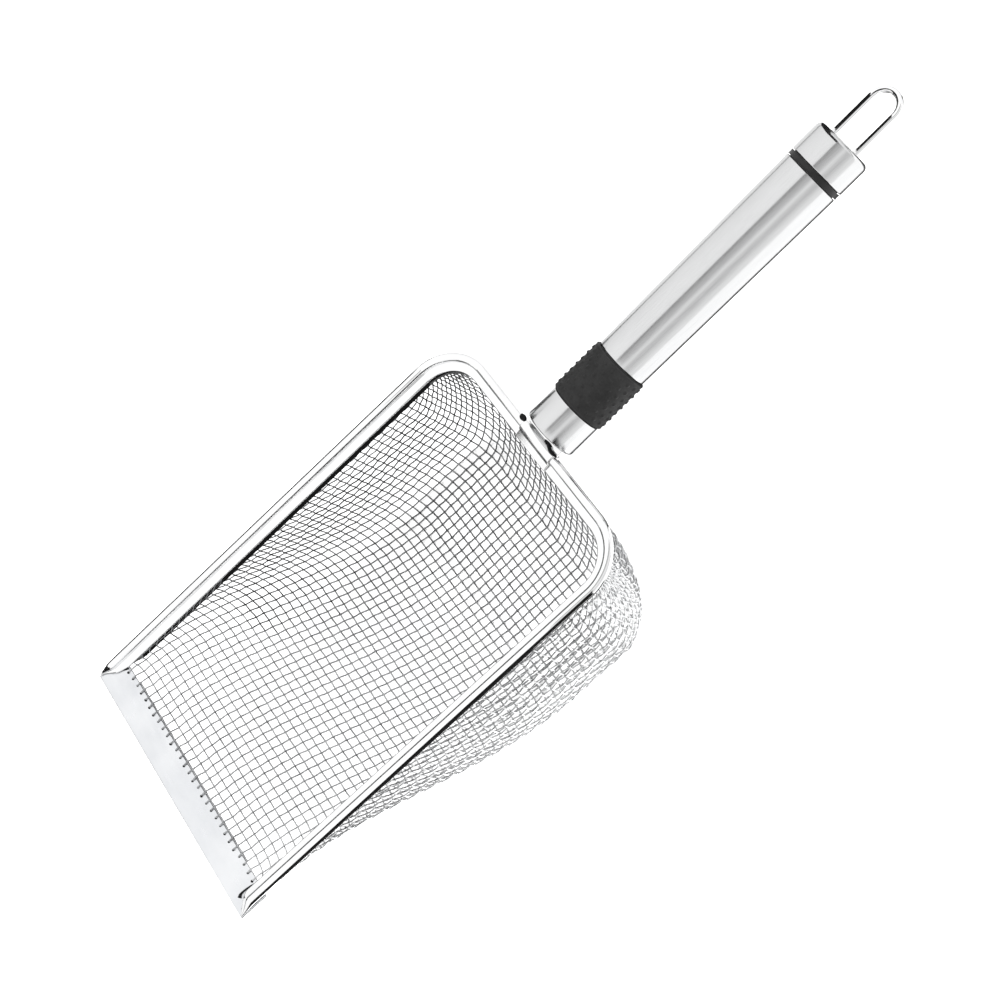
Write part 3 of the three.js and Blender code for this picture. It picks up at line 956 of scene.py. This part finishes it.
class Finish:
    """A node material under construction, with its texture coordinates at hand."""

    def __init__(self, name, metallic, specular=0.5):
        self.material = bpy.data.materials.new(name)
        self.material.use_nodes = True
        self.tree = self.material.node_tree
        self.shader = self.tree.nodes["Principled BSDF"]
        self.shader.inputs["Metallic"].default_value = metallic
        self.shader.inputs["Specular IOR Level"].default_value = specular
        self.place = add_node(self.tree, "TexCoord", {})["Object"]

    def connect(self, name, output):
        self.tree.links.new(output, self.shader.inputs[name])

    def noise(self, scale, detail=3.0, stretch=(1, 1, 1)):
        """Noise with features 1/scale metres across, drawn out along the axes by stretch."""
        place = add_node(self.tree, "Mapping", {
            "Scale": [1 / value for value in stretch], "Vector": self.place})["Vector"]
        return add_node(self.tree, "TexNoise", {
            "Scale": scale, "Detail": detail, "Vector": place})["Fac"]

    def across(self):
        """The position along Y in metres."""
        return add_node(self.tree, "SeparateXYZ", {"Vector": self.place})["Y"]

    def shades(self, factor, dark, light, start=0.3, end=0.7):
        """Colours from dark to light while a factor goes from start to end."""
        return add_ramp(self.tree, factor, ((start, dark), (end, light)))

    def range(self, factor, low, high, start=0.3, end=0.7):
        """Numbers from low to high while a factor goes from start to end."""
        return add_node(self.tree, "MapRange", {
            "From Min": start, "From Max": end, "To Min": low, "To Max": high,
            "Value": factor})["Result"]

    def mix(self, factor, first, second):
        return add_node(self.tree, "Mix", {"Factor": factor, 6: first, 7: second},
                        data_type="RGBA")[2]

    def bump(self, height, depth, strength):
        self.connect("Normal", add_node(self.tree, "Bump", {
            "Strength": strength, "Distance": depth, "Height": height})["Normal"])

    def colour(self, body, worn=None, edge=0.0):
        """Base colour, turning to worn along convex edges of a width in metres."""
        if worn is not None:
            body = self.mix(self.worn_edges(edge), body, worn)
        self.connect("Base Color", body)

    def roughness(self, factor, low, high):
        self.connect("Roughness", self.range(factor, low, high))

    def worn_edges(self, size):
        """1 on convex edges and 0 elsewhere, from how far a rounded normal turns away."""
        rounded = add_node(self.tree, "Bevel", {"Radius": size})["Normal"]
        flat = add_node(self.tree, "NewGeometry", {})["Normal"]
        dot = add_node(self.tree, "VectorMath", {0: rounded, 1: flat},
                       operation="DOT_PRODUCT")["Value"]
        return self.range(dot, 1.0, 0.0, 0.90, 0.995)


def grey(value, cool=0.0):
    """A neutral colour, or a slightly blue one."""
    return (value * (1 - cool), value * (1 - 0.6 * cool), value)


def wire_steel():
    """Drawn wire with painted light and shade: a lighter copy of its colour up the pan's near
    wall, at +Y, and a darker copy everywhere else.
    """
    finish = Finish("wire_steel", 1.0)
    drawn = finish.noise(260, 4)
    # Painted shade (dark) and painted light (bright): two copies of one wire colour, mixed across
    # Y
    dark = finish.shades(drawn, grey(0.28, 0.04), grey(0.49, 0.03))
    bright = finish.shades(drawn, grey(0.50, 0.02), grey(0.74, 0.01))
    painted_light_share = finish.range(finish.across(), 0, 1, *NEAR_WALL_PAINTED_LIGHT)
    finish.colour(finish.mix(painted_light_share, dark, bright))
    finish.roughness(drawn, 0.22, 0.38)
    finish.bump(finish.noise(5000, 2), 0.00002, 0.4)
    return finish.material


def polished_steel():
    finish = Finish("polished_steel", 1.0)
    bright = finish.shades(finish.noise(90), grey(0.84, 0.01), grey(0.92))
    worn = finish.shades(finish.noise(1800), grey(0.74), grey(0.86), 0.4)
    finish.colour(bright, worn, 0.0003)
    finish.roughness(finish.noise(700, 4, (8, 1, 1)), 0.04, 0.11)
    finish.bump(finish.noise(2500, 3, (12, 1, 1)), 0.00001, 0.25)
    return finish.material


def satin_steel():
    """Rolled sheet of the digging edge: bluish, clouded, scuffed where it digs."""
    finish = Finish("satin_steel", 1.0)
    sheet = finish.shades(finish.noise(55, 4), grey(0.735, 0.045), grey(0.80, 0.03), 0.35, 0.65)
    scuffs = finish.shades(finish.noise(900, 5, (1, 9, 1)), grey(0.55), grey(0.85), 0.35, 0.6)
    finish.colour(sheet, scuffs, 0.0005)
    finish.roughness(finish.noise(500, 5, (1, 5, 1)), 0.26, 0.42)
    finish.bump(finish.noise(1500, 4, (1, 10, 1)), 0.00003, 0.3)
    return finish.material


def strap_steel():
    finish = Finish("strap_steel", 1.0)
    sheet = finish.shades(finish.noise(120), grey(0.86), grey(0.93))
    worn = finish.shades(finish.noise(1500), grey(0.7), grey(0.85), 0.4)
    finish.colour(sheet, worn, 0.0003)
    finish.roughness(finish.noise(800, 4), 0.14, 0.26)
    finish.bump(finish.noise(2200), 0.00002, 0.25)
    return finish.material


def brushed_steel():
    """Steel with fine lengthwise brushing, as on the handle."""
    finish = Finish("brushed_steel", 1.0)
    hairlines = finish.noise(3200, 4, (90, 1, 1))
    cloud = finish.noise(70, 2, (3, 1, 1))
    lines = finish.shades(hairlines, grey(0.60, 0.01), grey(0.69, 0.01), 0.25, 0.75)
    clouded = finish.shades(cloud, grey(0.61, 0.01), grey(0.67, 0.01))
    worn = finish.shades(finish.noise(1200), grey(0.72), grey(0.82), 0.4)
    finish.colour(finish.mix(cloud, lines, clouded), worn, 0.0004)
    finish.roughness(hairlines, 0.14, 0.20)
    finish.bump(hairlines, 0.00001, 0.08)
    return finish.material


# Near-black: the real welds at the wire ends, and also the painted shadows at the rim's tips and
# at the neck
def weld_and_painted_shadow():
    finish = Finish("weld_and_painted_shadow", 0.0, 0.1)
    scale = finish.noise(2500, 4)
    finish.colour(finish.shades(scale, grey(0.002, 0.2), grey(0.008, 0.1), 0.35))
    finish.roughness(scale, 0.45, 0.7)
    finish.bump(finish.noise(4000), 0.00006, 0.6)
    return finish.material


def black_rubber():
    finish = Finish("black_rubber", 0.0, 0.3)
    body = finish.shades(finish.noise(160, 4), grey(0.006), grey(0.012))
    # Lighter along convex edges: partly wear on the nubs' tops, partly a painted highlight for
    # their glints
    rubbed = finish.shades(finish.noise(1900), grey(0.012), grey(0.03), 0.4)
    finish.colour(body, rubbed, 0.0004)
    finish.roughness(finish.noise(1400, 5), 0.5, 0.72)
    finish.bump(finish.noise(5200, 4), 0.00005, 0.5)
    return finish.material


def black_plastic():
    finish = Finish("black_plastic", 0.0, 0.3)
    body = finish.shades(finish.noise(300), grey(0.004), grey(0.008))
    rubbed = finish.shades(finish.noise(1500), grey(0.008), grey(0.02), 0.4)
    finish.colour(body, rubbed, 0.0002)
    finish.roughness(finish.noise(1100, 4), 0.3, 0.45)
    finish.bump(finish.noise(3600), 0.00002, 0.3)
    return finish.material


def core_plastic():
    finish = Finish("core_plastic", 0.0)
    body = finish.shades(finish.noise(200), grey(0.04), grey(0.07))
    rubbed = finish.shades(finish.noise(1500), grey(0.07), grey(0.12), 0.4)
    finish.colour(body, rubbed, 0.0003)
    finish.roughness(finish.noise(900, 4), 0.45, 0.65)
    finish.bump(finish.noise(2600), 0.00004, 0.3)
    return finish.material


# ---- studio ----
# Places and sizes in this section are in metres in the part's frame.

CAMERA_TARGET = Vector((0.01322, 0.00633, 0.0619))
CAMERA_DISTANCE = 0.6963
CAMERA_AZIMUTH = math.radians(109.741)
CAMERA_ELEVATION = math.radians(58.709)
CAMERA_ROLL = math.radians(59.954)
SENSOR_WIDTH = 36.0
LENS = 73.175

SKY = 1.2
UNDER = 0.1
FLOOR_SIZE = 30.0
CARD_HEIGHT = 0.0008
FLAG_GLOW = 0.01
REFLECTOR_RADIUS = 0.4
REFLECTOR_ENDS = (-0.5, 0.1)

# Brightness of the handle's reflector at angles up from the +Y horizon
REFLECTOR_BANDS = (
    (-10, 1.15),
    (8, 1.05),
    (27, 0.72),
    (37, 0.85),
    (46, 1.12),
    (56, 0.74),
    (72, 0.56),
    (80, 0.22),
    (82, 1.2),
    (96, 1.2),
)


def place(piece):
    bpy.context.scene.collection.objects.link(piece)
    return piece


def camera():
    data = bpy.data.cameras.new("camera")
    data.sensor_width = SENSOR_WIDTH
    data.lens = LENS
    data.clip_start = 0.01
    viewer = place(bpy.data.objects.new("camera", data))
    towards = Vector((math.cos(CAMERA_ELEVATION) * math.cos(CAMERA_AZIMUTH),
                      math.cos(CAMERA_ELEVATION) * math.sin(CAMERA_AZIMUTH),
                      math.sin(CAMERA_ELEVATION)))
    level = towards.to_track_quat("Z", "Y").to_matrix().to_4x4()
    roll = Matrix.Rotation(-CAMERA_ROLL, 4, "Z")
    stand = Matrix.Translation(CAMERA_TARGET + towards * CAMERA_DISTANCE)
    viewer.matrix_world = stand @ level @ roll
    bpy.context.scene.camera = viewer


def flat_object(name, corners, faces=((0, 1, 2, 3),)):
    mesh = bpy.data.meshes.new(name)
    mesh.from_pydata(corners, [], faces)
    return place(bpy.data.objects.new(name, mesh))


def rectangle(low, high):
    """Corners of a rectangle square to the axes, from its lowest and highest corners."""
    first, second = [axis for axis in range(3) if low[axis] != high[axis]]
    corners = []
    for a, b in ((low, low), (high, low), (high, high), (low, high)):
        corner = list(low)
        corner[first] = a[first]
        corner[second] = b[second]
        corners.append(corner)
    return corners


def floor():
    size = FLOOR_SIZE
    piece = flat_object("floor", rectangle((-size, -size, 0), (size, size, 0)))
    finish = Finish("pale_floor", 0.0, 0.0)
    paper = finish.noise(40, 5)
    finish.colour(finish.shades(paper, grey(0.92), grey(0.94)))
    finish.roughness(paper, 0.85, 0.95)
    piece.data.materials.append(finish.material)
    piece.visible_glossy = False


def reflector(piece, brightness):
    """Make a piece a card that is seen only in shiny surfaces, and return its glow."""
    made = bpy.data.materials.new(piece.name)
    made.use_nodes = True
    nodes = made.node_tree.nodes
    nodes.remove(nodes["Principled BSDF"])
    glow = nodes.new("ShaderNodeEmission")
    glow.inputs["Strength"].default_value = brightness
    made.node_tree.links.new(glow.outputs["Emission"], nodes["Material Output"].inputs["Surface"])
    piece.data.materials.append(made)
    for ray in ("camera", "diffuse", "transmission", "volume_scatter", "shadow"):
        setattr(piece, f"visible_{ray}", False)
    return made, glow


def floor_cards():
    """White cards on the floor on both sides of the handle and under the near wall."""
    z = CARD_HEIGHT
    cards = {
        "handle_card": ([(-0.7, 0.02, z), (0.02, 0.02, z), (0.2, 0.6, z), (-0.7, 0.6, z)], 1.5),
        "far_card": (rectangle((-0.7, -0.7, z), (0, -0.03, z)), 1.1),
        "wall_card": (rectangle((-0.03, 0.045, z), (0.2, 0.09, z)), 3.2),
    }
    for name, (corners, brightness) in cards.items():
        reflector(flat_object(name, corners), brightness)


def handle_reflector():
    """Curved sheet around the handle with a soft dark seam, for its lengthwise bands."""
    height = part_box("handle_tube")[0].z
    angles = np.radians(np.linspace(REFLECTOR_BANDS[0][0], REFLECTOR_BANDS[-1][0], 60))
    points = []
    faces = []
    for index, angle in enumerate(angles):
        y = REFLECTOR_RADIUS * math.cos(angle)
        z = height + REFLECTOR_RADIUS * math.sin(angle)
        points += [(x, y, z) for x in REFLECTOR_ENDS]
        if index:
            a = 2 * index
            faces.append((a - 2, a - 1, a + 1, a))
    made, glow = reflector(flat_object("handle_reflector", points, faces), 1.0)
    tree = made.node_tree
    where = add_node(tree, "TexCoord", {})["Object"]
    where = add_node(tree, "SeparateXYZ", {"Vector": where})
    above = add_node(tree, "Math", {0: where["Z"], 1: height}, operation="SUBTRACT")["Value"]
    angle = add_node(tree, "Math", {0: above, 1: where["Y"]}, operation="ARCTAN2")["Value"]
    bands(tree, angle, REFLECTOR_BANDS, glow)


def bands(tree, angle, stops, shader):
    """Drive a shader's colour by an angle in radians through stops of (degrees, value)."""
    low, high = stops[0][0], stops[-1][0]
    share = add_node(tree, "MapRange", {
        "From Min": math.radians(low), "From Max": math.radians(high), "Value": angle})
    brightest = max(value for _, value in stops)
    shades = [((degrees - low) / (high - low), grey(value / brightest))
              for degrees, value in stops]
    tree.links.new(add_ramp(tree, share["Result"], shades), shader.inputs["Color"])
    shader.inputs["Strength"].default_value = brightest


def rim_flags():
    """Dark cards that draw black lines along the rim, its skirt and the digging edge."""
    low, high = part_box("rim_core_wire")
    shade_z = low.z - 0.004
    cards = {
        "rim_flag": [(0.012, 0.12, 0.02), (0.25, 0.12, 0.02), (0.21, 0.12, 0.085),
                     (0.012, 0.12, 0.145)],
        "corner_flag": rectangle((0.05, -0.3, 0), (0.45, -0.3, 0.2)),
        "rim_shade": rectangle((0, high.y + 0.001, shade_z),
                               (high.x - 0.016, high.y + 0.007, shade_z)),
        "edge_flag": rectangle((0.25, -0.125, 0), (0.25, -0.02, 0.1)),
        "skirt_shade": rectangle((0.012, -0.075, 0.04), (0.165, -0.035, 0.04)),
    }
    for name, corners in cards.items():
        reflector(flat_object(name, corners), FLAG_GLOW)


def loop_flag():
    """Dark card beside and above the loop's legs, which draws a black line along each."""
    near, far = -1.4 - CAP_END, 0.6 - CAP_END - LOOP_REACH + LOOP_BEND
    section = ((-12, -40), (-12, 25), (LOOP_BEND, 25))
    points = [(x, y, z) for y, z in section for x in (near, far)]
    piece = mesh_object("loop_flag", from_handle(points), [(0, 1, 3, 2), (2, 3, 5, 4)])
    reflector(piece, FLAG_GLOW)


def world():
    """Even soft light from above the horizon, and darkness below it."""
    studio = bpy.data.worlds.new("studio")
    bpy.context.scene.world = studio
    studio.use_nodes = True
    tree = studio.node_tree
    where = add_node(tree, "TexCoord", {})["Generated"]
    height = add_node(tree, "SeparateXYZ", {"Vector": where})["Z"]
    rise = add_node(tree, "Math", {0: height}, operation="ARCSINE")["Value"]
    stops = ((-90, UNDER), (-3, UNDER), (-0.5, 0.85 * SKY), (25, 0.95 * SKY), (60, SKY), (90, SKY))
    bands(tree, rise, stops, tree.nodes["Background"])


def softbox():
    """Large overhead light that whitens the floor and stays out of reflections."""
    data = bpy.data.lights.new("softbox", "AREA")
    data.size = 1.6
    data.energy = 30.0
    lamp = place(bpy.data.objects.new("softbox", data))
    lamp.location = (0.0, 0.1, 1.5)
    lamp.visible_glossy = False


# ---- assembly ----


def cloth():
    finish = wire_steel()
    long_wires, cross_wires = woven_wires()
    for name, wires in (("long_wires", long_wires), ("cross_wires", cross_wires)):
        bodies = [swept(tube_sections(wire, WIRE_RADIUS, WIRE_SIDES)) for wire in wires]
        declare(bodies_object(name, bodies), finish, "wire_cloth", "mesh_basket")
    declare(edge_welds_object(long_wires), weld_and_painted_shadow(), "wire_cloth", "mesh_basket")


def metalwork():
    declare(rim_object(), polished_steel(), "polished_steel", "rim_channel")
    declare(rim_core_object(), strap_steel(), "plain_wire", "rim_core_wire")
    declare(plate_object(), satin_steel(), "satin_steel", "front_plate")
    # Painted shadow at the rim's tips, in the near-black weld finish
    declare(painted_tip_shadows_object(), weld_and_painted_shadow(), "satin_steel", "front_plate")
    declare(bracket_object(), strap_steel(), "satin_steel", "neck_bracket")
    # Painted shadow at the neck, in the near-black weld finish
    declare(painted_neck_shadows_object(), weld_and_painted_shadow(), "satin_steel", "neck_bracket")


def handle():
    steel = brushed_steel()
    declare(ferrule_object(), steel, "brushed_steel", "front_ferrule")
    declare(sleeve_object(), black_rubber(), "black_rubber", "grip_sleeve")
    declare(tube_object(), steel, "brushed_steel", "handle_tube")
    declare(ring_object(), black_plastic(), "black_plastic", "rear_ring")
    declare(cap_object(), steel, "brushed_steel", "end_cap")
    declare(loop_object(), polished_steel(), "polished_steel", "hanging_loop")


def hidden_parts():
    """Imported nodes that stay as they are, inside the handle."""
    plastic = core_plastic()
    finishes = {"tang_rod": strap_steel(), "front_core": plastic, "rear_core": plastic}
    for name, finish in finishes.items():
        data = frame["nodes"][name].data
        data.materials.clear()
        data.materials.append(finish)


camera()
cloth()
metalwork()
handle()
hidden_parts()
floor()
floor_cards()
handle_reflector()
rim_flags()
loop_flag()
world()
softbox()
bpy.context.scene.view_settings.view_transform = "Standard"
